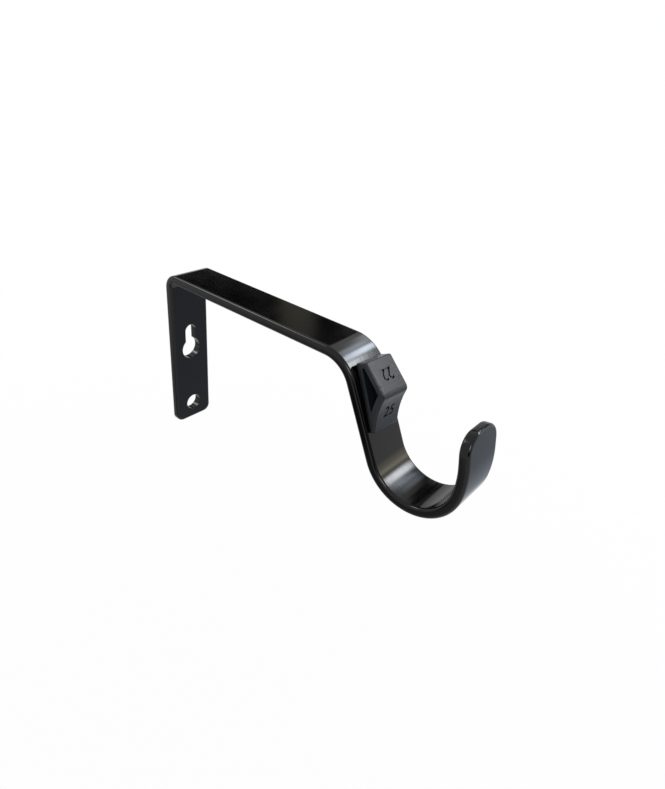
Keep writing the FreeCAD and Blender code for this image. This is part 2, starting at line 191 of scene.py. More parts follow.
def direction(azimuth, elevation):
    """The unit vector of a direction, in degrees from +X towards +Y, and above the level."""
    a, e = math.radians(azimuth), math.radians(elevation)
    return Vector((math.cos(a) * math.cos(e), math.sin(a) * math.cos(e), math.sin(e)))


def panel(name, distance, azimuth, elevation, width, height, tilt, colour, strength, softness,
          lights):
    """A flat panel that faces the object. Its width and height are angles in degrees."""
    out = direction(azimuth, elevation)
    side = Vector((0, 0, 1)).cross(out).normalized()
    rise = out.cross(side)
    turn = Matrix((side, rise, out)).transposed().to_4x4() @ Matrix.Rotation(
        math.radians(tilt), 4, "Z")
    half = [distance * math.tan(math.radians(angle / 2)) for angle in (width, height)]
    mesh = bpy.data.meshes.new(name)
    corners = [(-1, -1, 0), (1, -1, 0), (1, 1, 0), (-1, 1, 0)]
    mesh.from_pydata(corners, [], [(3, 2, 1, 0)])
    obj = bpy.data.objects.new(name, mesh)
    bpy.context.scene.collection.objects.link(obj)
    obj.matrix_world = (Matrix.Translation(middle + out * distance) @ turn
                        @ Matrix.Diagonal((half[0], half[1], 1, 1)))
    mesh.materials.append(panel_material(name, colour, strength, softness))
    obj.visible_camera = False
    obj.visible_shadow = False
    obj.visible_diffuse = lights
    return obj


# name, distance, then azimuth, elevation, width, height and tilt in degrees, colour, strength,
# the share of each half side that is soft, and whether it lights the object or only shows in
# the coat
PANELS = [
    ("key_low_end", FAR, 58.3, 35.2, 22, 8.6, 42, PALE, 29.0, (0.8, 0.8), True),
    ("key_high_end", FAR, 76.5, 41, 21, 9.5, 6, COOL, 25.0, (0.8, 0.8), True),
    ("key_tail", FAR, 92, 43, 16, 7, -8, COOL, 8.5, (0.8, 0.8), True),
    ("side_reflector", FAR, 105.5, 38, 21.5, 5.6, -31, WHITE, 5.5, (0.7, 0.8), True),
    ("key_glow", FAR, 46.5, 17, 23, 36, 0, WARM, 2.8, (1.0, 0.9), True),
    ("rim_softbox", FAR, -150, 39, 28, 24, 0, WHITE, 10.0, (0.8, 0.8), True),
    ("front_softbox", FAR, -52, 32, 30, 30, 0, WHITE, 12.0, (0.8, 0.8), True),
    ("flag_high", IN_FRONT * FAR, 125.8, 29, 8, 15, 0, BLACK, 0.0, (0.5, 0.4), False),
    ("flag_seat", IN_FRONT * CLOSE, 106, 35.5, 22, 10, -40, BLACK, 0.0, (0.5, 0.5), False),
    ("flag_seat_side", CLOSE, 80, 38, 45, 12, 3.5, BLACK, 0.0, (0.3, 0.9), False),
    ("glow_seat", CLOSE, 39.5, 17, 18, 9, -12, WARM, 4.8, (0.4, 0.8), False),
    ("flag_arm", FAR, 141, 24, 30, 18, 0, BLACK, 0.0, (0.2, 0.25), False),
    ("flag_between", FAR, 131.9, 24, 5, 12, 0, WARM, 0.28, (0.6, 0.4), False),
    ("flag_low", NEAR, -126, -35, 72, 30, -25, WHITE, 0.25, (0.8, 0.8), False),
    ("flag_slope", IN_FRONT * NEAR, -121, -31, 17, 17, -25, WHITE, 0.05, (0.7, 0.7), False),
    ("flag_front", NEAR, -42, 2, 76, 26, 0, BLACK, 0.0, (0.6, 0.6), False),
    ("card_low", NEAR, 50, -30, 70, 34, 0, COOL, 0.68, (0.5, 0.5), False),
    ("card_under", NEAR, 124, -26, 26, 42, 0, COOL, 0.25, (0.8, 0.7), False),
]
for entry in PANELS:
    made = panel(*entry)
    print("panel:", made.name)

# %% [markdown]
# The bracket was photographed on white, with hardly any shadow. White could come from more
# light, but then the coat would turn grey as well. Light Path tells the two apart instead: rays
# from the camera, and rays that the coat mirrors, see plain white, while the light that falls on
# the object stays dim and comes mostly from behind. The sheet far below keeps a faint shadow.

# %% Background and floor
WORLD_FILL_FRONT, WORLD_FILL_BACK = 0.15, 0.60
FRONT_ENDS, BACK_STARTS = -0.8, 0.6  # along +Y, in a sky of radius 1
PAPER = (0.85, 0.85, 0.85)
# The floor's drop, its size and the reach of its shadow in m, and the shadow's share
FLOOR_DROP, FLOOR_SIZE, SHADOW_REACH = 0.50, 5.0, 1.6
FLOOR_SHADOW = 0.09


def shown_rays(tree):
    """1 for rays that show the background as it is: seen, mirrored or let through."""
    path = tree.nodes.new("ShaderNodeLightPath")
    seen = math_node(tree, "MAXIMUM", path.outputs["Is Camera Ray"],
                     path.outputs["Is Glossy Ray"])
    return math_node(tree, "MAXIMUM", seen, path.outputs["Is Transmission Ray"])


world = bpy.data.worlds.new("studio")
world.use_nodes = True
bpy.context.scene.world = world
sky = world.node_tree
sky.nodes.clear()
heading = sky.nodes.new("ShaderNodeTexCoord")
facing = sky.nodes.new("ShaderNodeSeparateXYZ")
room = sky.nodes.new("ShaderNodeMapRange")
room.inputs["From Min"].default_value = FRONT_ENDS
room.inputs["From Max"].default_value = BACK_STARTS
room.inputs["To Min"].default_value = WORLD_FILL_FRONT
room.inputs["To Max"].default_value = WORLD_FILL_BACK
link_nodes(sky, (heading.outputs["Generated"], facing.inputs[0]),
           (facing.outputs["Y"], room.inputs["Value"]))
fill = math_node(sky, "MAXIMUM", shown_rays(sky), room.outputs["Result"])
background = sky.nodes.new("ShaderNodeBackground")
sky_output = sky.nodes.new("ShaderNodeOutputWorld")
link_nodes(sky, (fill, background.inputs["Strength"]),
           (background.outputs[0], sky_output.inputs["Surface"]))
background.inputs["Color"].default_value = (*WHITE, 1)

floor_material, tree, output = new_material("white_sweep")
paper = tree.nodes.new("ShaderNodeBsdfDiffuse")
paper.inputs["Color"].default_value = (*PAPER, 1)
glow = tree.nodes.new("ShaderNodeEmission")
glow.inputs["Color"].default_value = (*WHITE, 1)
blend = tree.nodes.new("ShaderNodeMixShader")
floor_place = tree.nodes.new("ShaderNodeTexCoord")
spread = tree.nodes.new("ShaderNodeVectorMath")
spread.operation = "LENGTH"
fade = tree.nodes.new("ShaderNodeMapRange")
fade.interpolation_type = "SMOOTHSTEP"
fade.inputs["From Max"].default_value = SHADOW_REACH
fade.inputs["To Min"].default_value = 1.0 - FLOOR_SHADOW
fade.inputs["To Max"].default_value = 1.0
link_nodes(tree, (floor_place.outputs["Object"], spread.inputs[0]),
           (spread.outputs["Value"], fade.inputs["Value"]))
share = math_node(tree, "MULTIPLY", shown_rays(tree), fade.outputs["Result"])
link_nodes(tree, (share, blend.inputs["Fac"]), (paper.outputs[0], blend.inputs[1]),
           (glow.outputs[0], blend.inputs[2]), (blend.outputs[0], output.inputs["Surface"]))
floor_mesh = bpy.data.meshes.new("floor")
half = FLOOR_SIZE / 2
level = cad_low.z - FLOOR_DROP
floor_mesh.from_pydata([(-half, -half, level), (half, -half, level), (half, half, level),
                        (-half, half, level)], [], [(0, 1, 2, 3)])
floor_mesh.materials.append(floor_material)
floor = bpy.data.objects.new("floor", floor_mesh)
bpy.context.scene.collection.objects.link(floor)
print("floor below the object, mm:", round(FLOOR_DROP / MM))

# %% [markdown]
# The coat is powder that was melted on in an oven. It is nearly black, smooth, and rounder than
# steel at every edge. Up close it has the faint swell of orange peel. That swell and a slight
# change of gloss are all its texture, because a stronger one would break up the long streaks.

# %% Bar coat
COAT_COLOUR = (0.0010, 0.0011, 0.0014)
COAT_ROUGHNESS = 0.13
COAT_SPECULAR = 0.27
PEEL_SIZE, PEEL_HEIGHT = 1.6 * MM, 0.004 * MM
COAT_CLOUD_SIZE, COAT_CLOUD = 9 * MM, 0.02
# What this noise really reaches: its low and its high values are rare
NOISE_LOW, NOISE_HIGH = 0.3, 0.7


def noise(tree, place, size, detail=3.0, roughness=0.5):
    """Noise whose lumps are about that size across."""
    node = tree.nodes.new("ShaderNodeTexNoise")
    node.inputs["Scale"].default_value = 1 / size
    node.inputs["Detail"].default_value = detail
    node.inputs["Roughness"].default_value = roughness
    tree.links.new(place, node.inputs["Vector"])
    return node.outputs["Fac"]


def map_range(tree, value, low, high):
    """A noise value, spread from low to high."""
    node = tree.nodes.new("ShaderNodeMapRange")
    node.inputs["From Min"].default_value = NOISE_LOW
    node.inputs["From Max"].default_value = NOISE_HIGH
    node.inputs["To Min"].default_value = low
    node.inputs["To Max"].default_value = high
    tree.links.new(value, node.inputs["Value"])
    return node.outputs["Result"]


def bump(tree, height, depth):
    """The normal of a surface that a pattern raises by up to that depth."""
    node = tree.nodes.new("ShaderNodeBump")
    node.inputs["Distance"].default_value = depth
    tree.links.new(height, node.inputs["Height"])
    return node.outputs["Normal"]


def coat_material():
    material, tree, output = new_material("black_powder_coat")
    place = tree.nodes.new("ShaderNodeTexCoord").outputs["Object"]
    surface = tree.nodes.new("ShaderNodeBsdfPrincipled")
    surface.inputs["Base Color"].default_value = (*COAT_COLOUR, 1)
    surface.inputs["Specular IOR Level"].default_value = COAT_SPECULAR
    peel = noise(tree, place, PEEL_SIZE, detail=1.0)
    gloss = map_range(tree, noise(tree, place, COAT_CLOUD_SIZE),
                      COAT_ROUGHNESS - COAT_CLOUD, COAT_ROUGHNESS + COAT_CLOUD)
    link_nodes(tree, (gloss, surface.inputs["Roughness"]),
               (bump(tree, peel, PEEL_HEIGHT), surface.inputs["Normal"]),
               (surface.outputs[0], output.inputs["Surface"]))
    return material


print("coat: roughness", COAT_ROUGHNESS, "and orange peel, mm:", PEEL_SIZE / MM, "wide")

# %% [markdown]
# The bracket is one strip of steel. A press punches it flat, with its holes and rounded ends,
# and then bends it four times. A profile swept along the finished path would give the bends too,
# but then the holes and the rounded ends would have to be cut into bent metal. So the bar is
# made here in the press's own order. The flat blank comes first, in mesh code: it lies along
# +X, and the side that will touch the wall faces up.

# %% Sizes of the bar
BAR_WIDTH = 16.2 * MM
BAR_THICKNESS = 3.3 * MM
BAR_EDGE_ROUND = 0.9 * MM
PLATE_DROP = 18.9 * MM
PLATE_CORNER = 3 * MM
ARM_RISE = 44.1 * MM
ARM_REACH = 76 * MM
SLOPE_TURN = math.radians(65)
SLOPE_RUN = 24.8 * MM
SEAT_RADIUS, SEAT_TURN = 13.4 * MM, math.radians(147)
LIP_RADIUS, LIP_TURN = 31.0 * MM, math.radians(17)
TIP_CORNER = 5.7 * MM
TIP_RUN = 8.9 * MM

# Two bends lie against their tool with the blank's lower side, so the upper side's radius is
# the tool's and the thickness together
WALL_TOOL, FRONT_TOOL = 2.3 * MM, 10 * MM
WALL_RADIUS = WALL_TOOL + BAR_THICKNESS
FRONT_RADIUS = FRONT_TOOL + BAR_THICKNESS

# name, flat run before the bend, radius on the blank's upper side, and turn: a bend with a
# positive turn curls upwards
BENDS = [
    ("Wall", PLATE_DROP + ARM_RISE - WALL_RADIUS, WALL_RADIUS, math.radians(-90)),
    ("Front", ARM_REACH - WALL_RADIUS, FRONT_RADIUS, -SLOPE_TURN),
    ("Seat", SLOPE_RUN, SEAT_RADIUS, SEAT_TURN),
    ("Lip", 0.0, LIP_RADIUS, LIP_TURN),
]


def bend_zones():
    """Where each bend starts and ends along the flat blank."""
    zones, reached = [], 0.0
    for _, run, radius, turn in BENDS:
        zones.append((reached + run, reached + run + radius * abs(turn)))
        reached = zones[-1][1]
    return zones


bar_length = bend_zones()[-1][1] + TIP_RUN
print("flat blank, mm:", round(bar_length / MM, 1), "bends at:",
      [[round(end / MM, 1) for end in zone] for zone in bend_zones()])

# %% [markdown]
# The blank is a strip with a small radius at its foot and a rounder tip. Its outline and the
# outlines of the punches are lists of points on arcs, drawn out into solids. A punch for the
# keyhole follows one outline, a big arc and a small one, because two overlapping punches would
# leave loose slivers where their walls meet.

# %% Blank and punches
CORNER_STEPS = 14
HOLE_STEPS = 40
OVERSHOOT = 1.0 * MM
SCREW_HOLE_DROP, KEYHOLE_RISE, SLOT_RISE = 12.1 * MM, 12.5 * MM, 20.1 * MM
STUD_DISTANCE = 5.8 * MM
# Each hole by its place along the blank and its radius
SCREW_HOLE = PLATE_DROP - SCREW_HOLE_DROP, 3.2 * MM
KEYHOLE_HEAD = PLATE_DROP + KEYHOLE_RISE, 4.05 * MM
KEYHOLE_SLOT = PLATE_DROP + SLOT_RISE, 2.4 * MM
STUD_HOLE = bend_zones()[1][1] + STUD_DISTANCE, 2.55 * MM


def ring(x, y, radius, first, turn, steps):
    """Points on an arc, by its centre, its radius, its first angle and its turn in degrees."""
    angles = [math.radians(first + turn * step / steps) for step in range(steps + 1)]
    return [Vector((x + radius * math.cos(angle), y + radius * math.sin(angle)))
            for angle in angles]


def make_piece(name, shape):
    """Turn mesh code into an object of the scene."""
    mesh = bpy.data.meshes.new(name)
    shape.to_mesh(mesh)
    shape.free()
    obj = bpy.data.objects.new(name, mesh)
    bpy.context.scene.collection.objects.link(obj)
    return obj


def stack(name, levels, turn=Matrix.Identity(4)):
    """A closed solid through outlines with equally many points, each with its height."""
    shape = bmesh.new()
    rings = [[shape.verts.new((point.x, point.y, height)) for point in line]
             for line, height in levels]
    shape.faces.new(rings[0])
    shape.faces.new(rings[-1][::-1])
    for near, far in zip(rings, rings[1:]):
        for index in range(len(near)):
            after = (index + 1) % len(near)
            shape.faces.new((near[after], near[index], far[index], far[after]))
    bmesh.ops.transform(shape, matrix=turn, verts=shape.verts)
    bmesh.ops.recalc_face_normals(shape, faces=shape.faces)
    return make_piece(name, shape)


def prism(name, line, low, high, turn=Matrix.Identity(4)):
    """A closed solid with that outline, from low to high, turned into its place."""
    return stack(name, [(line, low), (line, high)], turn)


def blank_outline():
    """The blank from above: square with a small radius at the foot, rounder at the tip."""
    half, foot, tip = BAR_WIDTH / 2, PLATE_CORNER, TIP_CORNER
    return (ring(foot, foot - half, foot, 180, 90, CORNER_STEPS)
            + ring(bar_length - tip, tip - half, tip, 270, 90, CORNER_STEPS)
            + ring(bar_length - tip, half - tip, tip, 0, 90, CORNER_STEPS)
            + ring(foot, half - foot, foot, 90, 90, CORNER_STEPS))


def punch(line):
    """A punch with that outline, long enough to pass through the blank."""
    return prism("punch", line, -BAR_THICKNESS - OVERSHOOT, OVERSHOOT)


blank = prism("bent_bar", blank_outline(), -BAR_THICKNESS, 0)
meeting = math.degrees(math.asin(KEYHOLE_SLOT[1] / KEYHOLE_HEAD[1]))
keyhole = (ring(KEYHOLE_HEAD[0], 0, KEYHOLE_HEAD[1], meeting, 360 - 2 * meeting, HOLE_STEPS)
           + ring(KEYHOLE_SLOT[0], 0, KEYHOLE_SLOT[1], -90, 180, HOLE_STEPS // 2))
punches = [punch(keyhole)]
for place, radius in (SCREW_HOLE, STUD_HOLE):
    punches.append(punch(ring(place, 0, radius, 0, 360, HOLE_STEPS)[:-1]))
print("blank corners:", len(blank.data.vertices), "punches:", len(punches))

# %% [markdown]
# Bar stock has rounded edges before it is cut, and the coat softens the rims of the holes a
# little more. So the long edges are rounded first, with a Bevel modifier, then the holes are
# cut by Booleans, and a much smaller bevel goes round their rims. Last, the flat strip is cut
# across in short steps wherever it will bend, because a long flat face can't follow a curve.

# %% Punched blank
# Edges are rounded where they are sharper than this, in degrees
SHARP_EDGE, SHARP_RIM = 40, 50
ROUND_STEPS, RIM_STEPS = 5, 3
HOLE_RIM = 0.3 * MM
BEND_STEP = math.radians(2.5)
# Nearer than this, two points are one. The lip's bend starts where the seat's ends, and without
# it the same cut made twice would leave a ring of flat faces
SAME_POINT = 0.001 * MM


def round_edges(obj, radius, from_angle, steps):
    """A Bevel modifier on every edge that is sharper than an angle."""
    bevel = obj.modifiers.new("rounded edges", "BEVEL")
    bevel.width = radius
    bevel.segments = steps
    bevel.limit_method = "ANGLE"
    bevel.angle_limit = math.radians(from_angle)


def combine(obj, other, operation):
    """A Boolean modifier that adds a solid or takes it away."""
    boolean = obj.modifiers.new(operation.lower(), "BOOLEAN")
    boolean.operation = operation
    boolean.object = other
    boolean.solver = "EXACT"


def bake(obj, helpers=()):
    """Turn what the modifiers show into the object's own mesh, and drop the helpers."""
    seen = obj.evaluated_get(bpy.context.evaluated_depsgraph_get())
    mesh = bpy.data.meshes.new_from_object(seen)
    obj.modifiers.clear()
    obj.data = mesh
    for helper in helpers:
        bpy.data.objects.remove(helper)
    return obj


def slice_bends(obj):
    """Cut the blank across wherever it is going to bend, so that each bend is many short faces."""
    shape = bmesh.new()
    shape.from_mesh(obj.data)
    for (start, end), (_, _, _, turn) in zip(bend_zones(), BENDS):
        steps = math.ceil(abs(turn) / BEND_STEP)
        for step in range(steps + 1):
            bmesh.ops.bisect_plane(
                shape, geom=[*shape.verts, *shape.edges, *shape.faces],
                plane_co=(start + (end - start) * step / steps, 0, 0), plane_no=(1, 0, 0),
                dist=SAME_POINT)
    shape.to_mesh(obj.data)
    shape.free()


round_edges(blank, BAR_EDGE_ROUND, SHARP_EDGE, ROUND_STEPS)
bake(blank)
for tool in punches:
    combine(blank, tool, "DIFFERENCE")
bake(blank, punches)
round_edges(blank, HOLE_RIM, SHARP_RIM, RIM_STEPS)
bake(blank)
slice_bends(blank)
print("faces of the punched blank:", len(blank.data.polygons))

# %% [markdown]
# A press tool wraps the strip round a circle. What lies before the bend stays where it is, what
# lies in it follows the circle, and what lies after it swings along as a stiff piece. That is a
# rule, so Geometry Nodes can do it, with every length, radius and turn as a named input. A
# Simple Deform modifier also bends, but always the whole object, so it can't leave straight
# runs between four bends.

# %% Node group for one bend

def socket(tree, name, kind, in_out="INPUT"):
    """A named input or output of a node group."""
    return tree.interface.new_socket(name, in_out=in_out, socket_type="NodeSocket" + kind)


def vector_of(tree, *values):
    return feed(tree, tree.nodes.new("ShaderNodeCombineXYZ"), values)


def one_bend():
    """Along is a point's place on the flat blank, and Start is where the bend begins."""
    tree = bpy.data.node_groups.new("one bend", "GeometryNodeTree")
    socket(tree, "Geometry", "Geometry", "OUTPUT")
    socket(tree, "Geometry", "Geometry")
    for name in ("Along", "Start", "Radius", "Turn"):
        socket(tree, name, "Float")
    given = tree.nodes.new("NodeGroupInput").outputs
    result = tree.nodes.new("NodeGroupOutput")
    way = math_node(tree, "SIGN", given["Turn"])
    length = math_node(tree, "MULTIPLY", given["Radius"],
                       math_node(tree, "ABSOLUTE", given["Turn"]))
    past_start = math_node(tree, "SUBTRACT", given["Along"], given["Start"])
    wrapped = math_node(tree, "MINIMUM", math_node(tree, "MAXIMUM", past_start, 0.0), length)
    swing = math_node(tree, "DIVIDE", wrapped, math_node(tree, "MULTIPLY", given["Radius"], -1.0))
    pulled = tree.nodes.new("ShaderNodeVectorMath")
    pulled.operation = "SUBTRACT"
    turned = tree.nodes.new("ShaderNodeVectorRotate")
    turned.rotation_type = "Y_AXIS"
    moved = tree.nodes.new("GeometryNodeSetPosition")
    link_nodes(tree,
               (tree.nodes.new("GeometryNodeInputPosition").outputs[0], pulled.inputs[0]),
               (vector_of(tree, wrapped, 0.0, 0.0), pulled.inputs[1]),
               (pulled.outputs["Vector"], turned.inputs["Vector"]),
               (vector_of(tree, given["Start"], 0.0,
                          math_node(tree, "MULTIPLY", given["Radius"], way)),
                turned.inputs["Center"]),
               (math_node(tree, "MULTIPLY", swing, way), turned.inputs["Angle"]),
               (given["Geometry"], moved.inputs["Geometry"]),
               (turned.outputs["Vector"], moved.inputs["Position"]),
               (moved.outputs["Geometry"], result.inputs["Geometry"]))
    return tree


bend_nodes = one_bend()
print("nodes in one bend:", len(bend_nodes.nodes))

# %% [markdown]
# The whole bar is that group four times in a row. The tree first notes how far each point lies
# along the flat blank, because the bends move the points. It works from the free end back to
# the wall, since the strip in front of a bend still has to be flat while that bend is made.
# Changing one run, radius or turn on the modifier then bends the whole bar anew.

# %% Node tree for the whole bar

def bar_tree():
    """Adds up the runs to find each bend's start, bends from the tip inwards, and stands it up."""
    tree = bpy.data.node_groups.new("bent bar", "GeometryNodeTree")
    socket(tree, "Geometry", "Geometry", "OUTPUT")
    socket(tree, "Geometry", "Geometry")
    for name, _, _, _ in BENDS:
        for part in (" run", " radius", " turn"):
            socket(tree, name + part, "Float")
    socket(tree, "Plate drop", "Float")
    socket(tree, "Coat", "Material")
    given = tree.nodes.new("NodeGroupInput").outputs
    result = tree.nodes.new("NodeGroupOutput")

    along = tree.nodes.new("GeometryNodeCaptureAttribute")
    along.capture_items.new("FLOAT", "Along")
    split = tree.nodes.new("ShaderNodeSeparateXYZ")
    link_nodes(tree, (tree.nodes.new("GeometryNodeInputPosition").outputs[0], split.inputs[0]),
               (split.outputs["X"], along.inputs["Along"]),
               (given["Geometry"], along.inputs["Geometry"]))

    reached, starts = 0.0, {}
    for name, _, _, _ in BENDS:
        starts[name] = math_node(tree, "ADD", given[name + " run"], reached)
        length = math_node(tree, "MULTIPLY", given[name + " radius"],
                           math_node(tree, "ABSOLUTE", given[name + " turn"]))
        reached = math_node(tree, "ADD", starts[name], length)

    shape = along.outputs["Geometry"]
    for name, _, _, _ in reversed(BENDS):
        bend = tree.nodes.new("GeometryNodeGroup")
        bend.node_tree = bend_nodes
        link_nodes(tree, (shape, bend.inputs["Geometry"]),
                   (along.outputs["Along"], bend.inputs["Along"]),
                   (starts[name], bend.inputs["Start"]),
                   (given[name + " radius"], bend.inputs["Radius"]),
                   (given[name + " turn"], bend.inputs["Turn"]))
        shape = bend.outputs["Geometry"]

    upright = tree.nodes.new("GeometryNodeTransform")
    upright.inputs["Rotation"].default_value = (0, math.radians(-90), 0)
    drop = math_node(tree, "MULTIPLY", given["Plate drop"], -1.0)
    real = tree.nodes.new("GeometryNodeRealizeInstances")
    coated = tree.nodes.new("GeometryNodeSetMaterial")
    link_nodes(tree, (shape, upright.inputs["Geometry"]),
               (vector_of(tree, 0.0, 0.0, drop), upright.inputs["Translation"]),
               (upright.outputs["Geometry"], real.inputs["Geometry"]),
               (real.outputs["Geometry"], coated.inputs["Geometry"]),
               (given["Coat"], coated.inputs["Material"]),
               (coated.outputs["Geometry"], result.inputs["Geometry"]))
    return tree


bend_bar = blank.modifiers.new("bends", "NODES")
bend_bar.node_group = bar_tree()
values = {"Plate drop": PLATE_DROP, "Coat": coat_material()}
for name, run, radius, turn in BENDS:
    values.update({name + " run": run, name + " radius": radius, name + " turn": turn})
for item in bend_bar.node_group.interface.items_tree:
    if item.in_out == "INPUT" and item.name in values:
        bend_bar[item.identifier] = values[item.name]
bake(blank)
print("bar faces:", len(blank.data.polygons))

# %% [markdown]
# The bar is all one surface to the eye, flat in its runs and smooth in its bends. Smooth shading
# alone would bend the light over the flats near a rounded edge. Weighted normals let each large
# flat face keep its own direction, so the streaks stay straight right up to the edge.

# %% Bar in the frame
SMOOTH_BELOW = math.radians(35)


def soften(obj):
    """Smooth shading that keeps flat faces flat up to their rounded edges."""
    obj.data.shade_smooth()
    obj.data.set_sharp_from_angle(angle=SMOOTH_BELOW)
    weigh = obj.modifiers.new("flat faces stay flat", "WEIGHTED_NORMAL")
    weigh.keep_sharp = True
    bake(obj)


soften(blank)
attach(blank, "root")
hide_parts("bracket_bar")
corners = [Vector(corner) for corner in blank.bound_box]
print("bar, mm:", [round(value / MM, 2) for value in (*corners[0], *corners[6])])

# %% [markdown]
# The adaptor is a small moulding: a wedge with a straight face and a hollow face that meet in a
# soft ridge. Its sides are cored, so that the plastic cools evenly, and both faces carry a pole
# size. A moulding is never sharp outside, so the wedge is rounded before anything is cut from
# it. Its side view follows from a few sizes, and arcs worked out from them stay exact when a
# size is changed, which points placed by eye would not.

# %% Adaptor side view
HALF_LENGTH = 10.6 * MM
HALF_WIDTH = 5.95 * MM
PEAK = 8.1 * MM
UPPER_END = 3.9 * MM
LOWER_END = 1.6 * MM
HOLLOW_RADIUS = 25 * MM
RIDGE_ROUND = 2.0 * MM
ARC_STEPS = 24


def across(line):
    """The unit vector a quarter turn to the right of a line."""
    return Vector((line.y, -line.x)).normalized()


def circle_centre(start, end, radius):
    """Centre of the arc from start to end that bulges to the right of the way."""
    half = (end - start) / 2
    reach = math.sqrt(radius ** 2 - half.length ** 2)
    return start + half - across(half) * reach


def arc_points(centre, start, end, steps):
    """Points on a circle from start to end, by the shorter way, both ends included."""
    first, last = start - centre, end - centre
    sweep = first.angle_signed(last)
    points = []
    for step in range(steps + 1):
        spoke = first.copy()
        spoke.rotate(Matrix.Rotation(-sweep * step / steps, 2))
        points.append(centre + spoke)
    return points


def ridge_centre(foot, along, hollow, hollow_radius, ridge):
    """Centre of the circle that touches the straight face and the hollow one from inside."""
    base = foot + across(along) * ridge
    gap = base - hollow
    reach = hollow_radius + ridge
    middle_part = gap.dot(along)
    root = math.sqrt(middle_part ** 2 - gap.length_squared + reach ** 2)
    return base + along * (-middle_part - root)


upper_top = Vector((-HALF_LENGTH, UPPER_END))
peak = Vector((0, PEAK))
lower_top = Vector((HALF_LENGTH, LOWER_END))
straight = (peak - upper_top).normalized()
hollow = circle_centre(peak, lower_top, HOLLOW_RADIUS)
crest = ridge_centre(upper_top, straight, hollow, HOLLOW_RADIUS, RIDGE_ROUND)
crest_start = crest - across(straight) * RIDGE_ROUND
crest_end = crest + (hollow - crest).normalized() * RIDGE_ROUND

wedge_line = [Vector((-HALF_LENGTH, 0)), upper_top]
wedge_line += arc_points(crest, crest_start, crest_end, ARC_STEPS)
wedge_line += arc_points(hollow, crest_end, lower_top, ARC_STEPS)[1:]
wedge_line += [Vector((HALF_LENGTH, 0))]
print("ridge above the slope, mm:", round(max(point.y for point in wedge_line) / MM, 2))

# %% [markdown]
# Thick plastic sinks as it cools, so a moulding is hollowed from its sides and keeps walls of
# about 2 mm. The hollow has three sides that run along the wedge's own faces. It is worked out
# from the same lines as the outside, by the wall thickness, so the two never drift apart.

# %% Adaptor cores
STRAIGHT_WALL = 1.7 * MM
HOLLOW_WALL = 2.2 * MM
BASE_WALL = 1.9 * MM
END_WALL = 1.6 * MM
CORE_DEPTH = 4.0 * MM


def on_hollow(height):
    """The point at that height on the inside of the wall behind the hollow face."""
    reach = HOLLOW_RADIUS + HOLLOW_WALL
    drop = hollow.y - height
    return Vector((hollow.x - math.sqrt(reach ** 2 - drop ** 2), height))


core_foot = upper_top + across(straight) * STRAIGHT_WALL
core_start = Vector((-HALF_LENGTH + END_WALL, BASE_WALL))
core_corner = core_foot + straight * ((core_start.x - core_foot.x) / straight.x)
core_top = ridge_centre(core_foot, straight, hollow, HOLLOW_RADIUS + HOLLOW_WALL, 0)
core_end = on_hollow(BASE_WALL)
core_line = [core_start, core_corner] + arc_points(hollow, core_top, core_end, ARC_STEPS)
print("core, mm:", [[round(value / MM, 2) for value in point]
                    for point in (core_start, core_corner, core_top, core_end)])

# %% [markdown]
# The wedge is drawn out from its side view and rounded all over, then both hollows are cut, and
# their rims get a fine radius. Rounding after the cut would give every edge one and the same
# radius, which no mould has. A peg underneath sits in the hole of the bar. The photograph
# doesn't show it, so it is a plain one with a chamfer, for whatever holds the real wedge.

# %% Adaptor body
EDGE_ROUND = 0.8 * MM
CORE_EDGE_ROUND = 0.25 * MM
STUD_RADIUS = 2.5 * MM
STUD_LENGTH = BAR_THICKNESS - 0.3 * MM
STUD_CHAMFER = 0.5 * MM
STUD_STEPS = 48


def stud():
    """A peg under the wedge with a chamfered end, reaching a little up into the wedge."""
    end, full = (ring(0, 0, radius, 0, 360, STUD_STEPS)[:-1]
                 for radius in (STUD_RADIUS - STUD_CHAMFER, STUD_RADIUS))
    return stack("stud", [(end, -STUD_LENGTH), (full, STUD_CHAMFER - STUD_LENGTH),
                          (full, OVERSHOOT)])


ON_EDGE = Matrix.Rotation(math.radians(90), 4, "X")
wedge = prism("adaptor", wedge_line, -HALF_WIDTH, HALF_WIDTH, ON_EDGE)
round_edges(wedge, EDGE_ROUND, SHARP_EDGE, ROUND_STEPS)
bake(wedge)
cores = [prism("core", core_line, low, high, ON_EDGE)
         for low, high in ((-HALF_WIDTH - OVERSHOOT, -HALF_WIDTH + CORE_DEPTH),
                           (HALF_WIDTH - CORE_DEPTH, HALF_WIDTH + OVERSHOOT))]
for core in cores:
    combine(wedge, core, "DIFFERENCE")
bake(wedge, cores)
round_edges(wedge, CORE_EDGE_ROUND, SHARP_RIM, RIM_STEPS)
bake(wedge)
peg = stud()
combine(wedge, peg, "UNION")
bake(wedge, [peg])
print("adaptor faces:", len(wedge.data.polygons))

# %% [markdown]
# Both faces carry a mark that can't be read in the photograph, upright on the hollow face and
# upside down on the straight one. A wedge that takes two poles usually names their sizes, so
# plain millimetre figures stand here. They are cut into the face as solid text. A bump texture
# would be lighter, but it has no walls, and the walls are what makes the figures dark.

# %% Pole sizes on the adaptor
FIGURE_HEIGHT = 3.6 * MM
TYPE_SHARE = 0.69  # how tall the digits of Blender's own type are, by its size
FIGURE_DEPTH = 0.55 * MM
FIGURE_BOLDNESS = 0.04 * MM
FIGURE_STEPS = 6


